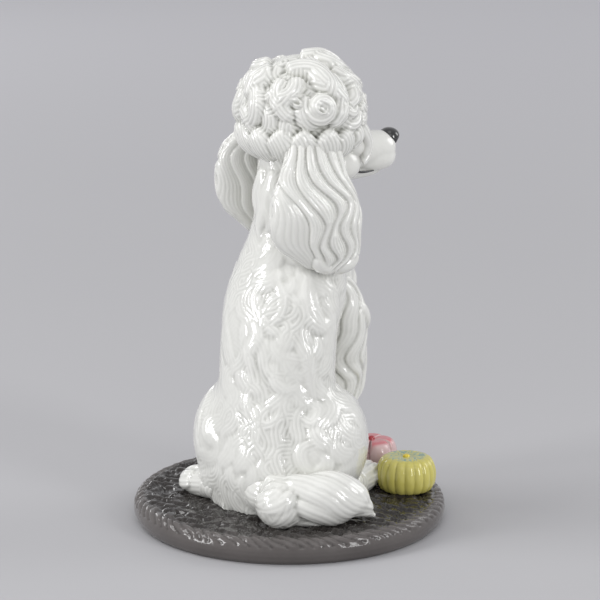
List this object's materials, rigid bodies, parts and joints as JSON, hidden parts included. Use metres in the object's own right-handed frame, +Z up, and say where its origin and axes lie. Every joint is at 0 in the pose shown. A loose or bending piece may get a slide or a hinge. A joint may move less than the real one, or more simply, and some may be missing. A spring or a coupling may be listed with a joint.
{
  "type": "ceramic dog figurine",
  "caption": "Glazed porcelain figurine of a sitting curly poodle with a domed topknot and long ears, on a round dark plinth with a yellow and a pink Japanese sweet beside it.",
  "frame": {"origin": "centre of the plinth's underside, at the bottom of the bounding box", "axes": "+Z up through the figure; -Y is the way the dog's body faces; -X is the dog's right, towards which the head is turned"},
  "size_m": [0.22, 0.22, 0.33],
  "materials": {
    "white_glaze": "glossy",
    "dark_glaze": "glossy",
    "black_glaze": "glossy",
    "yellow_glaze": "satin",
    "button_glaze": "satin",
    "pink_glaze": "satin",
    "red_glaze": "glossy"
  },
  "bodies": {
    "root": {"chest_ruff": "white_glaze", "left_ear": "white_glaze", "left_eye": "black_glaze", "left_foreleg": "white_glaze", "left_forepaw": "white_glaze", "left_haunch": "white_glaze", "left_hind_foot": "white_glaze", "muzzle": "white_glaze", "neck": "white_glaze", "nose": "black_glaze", "pink_sweet_core": "red_glaze", "pink_sweet_petals": "pink_glaze", "plinth": "dark_glaze", "right_ear": "white_glaze", "right_eye": "black_glaze", "right_foreleg": "white_glaze", "right_forepaw": "white_glaze", "right_haunch": "white_glaze", "right_hind_foot": "white_glaze", "skull": "white_glaze", "tail": "white_glaze", "topknot": "white_glaze", "topknot_roll": "white_glaze", "torso": "white_glaze", "yellow_sweet": "yellow_glaze", "yellow_sweet_button": "button_glaze"}
  },
  "joints": []
}
